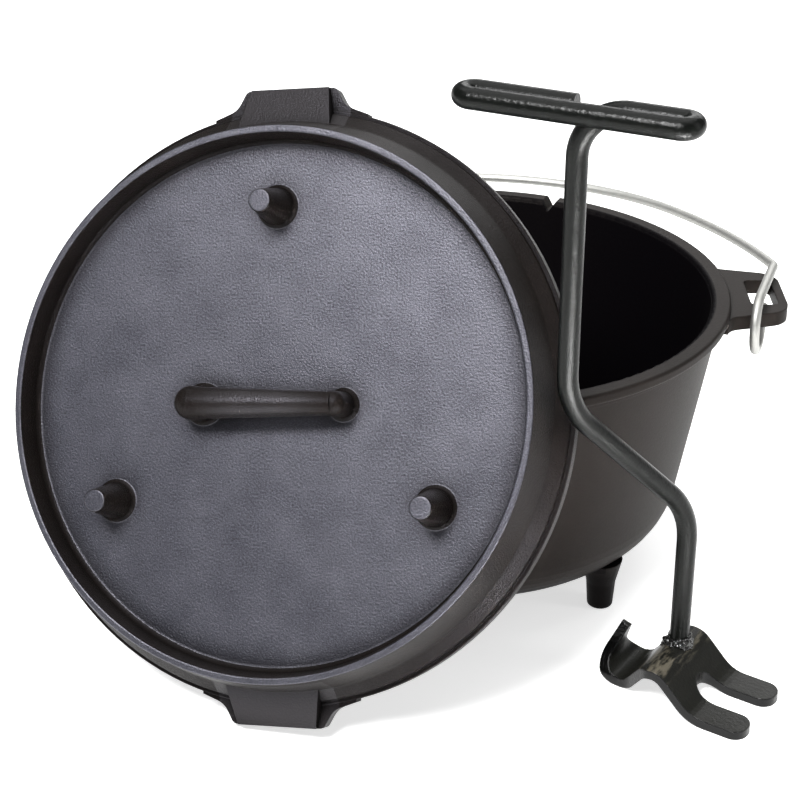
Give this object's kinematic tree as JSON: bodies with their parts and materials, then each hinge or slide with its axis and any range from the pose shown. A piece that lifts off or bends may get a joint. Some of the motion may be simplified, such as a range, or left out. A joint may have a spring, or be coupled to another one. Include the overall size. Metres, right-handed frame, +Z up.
{
  "type": "camp dutch oven",
  "caption": "Footed cast-iron camp pot with a flanged coal-ring lid leaning on its rim, a folded wire bail and a bent-bar lid lifter standing beside it.",
  "frame": {"origin": "on the pot's axis, in the floor plane under its feet", "axes": "+Z up along the pot's axis, +X along the ears to the side of the lifter, +Y away from the lid"},
  "size_m": [0.3855, 0.3996, 0.3071],
  "materials": {
    "pot_iron": "seasoned satin",
    "lid_iron": "seasoned satin",
    "bail_wire": "zinc plated satin",
    "lifter_paint": "gloss black",
    "claw_paint": "gloss black",
    "weld_metal": "gloss black over weld"
  },
  "bodies": {
    "pot": {"pot": "pot_iron"},
    "lid": {"lid": "lid_iron"},
    "bail": {"bail": "bail_wire"},
    "lifter": {"lifter_rod": "lifter_paint", "lifter_claw": "claw_paint", "lifter_weld": "weld_metal"}
  },
  "joints": [
    {"name": "bail_swing", "type": "hinge", "parent": "pot", "child": "bail", "pos_m": [0, -0.02093, 0.1403], "axis": [1, 0, 0], "range_deg": [0, 78]},
    {"name": "lid_lift", "type": "slide", "parent": "pot", "child": "lid", "axis": [-0.6521, -0.331, 0.6821], "range_m": [0, 0.25]},
    {"name": "lifter_lift", "type": "slide", "parent": "pot", "child": "lifter", "axis": [0.249, -0.4491, 0.8581], "range_m": [0, 0.2]}
  ]
}
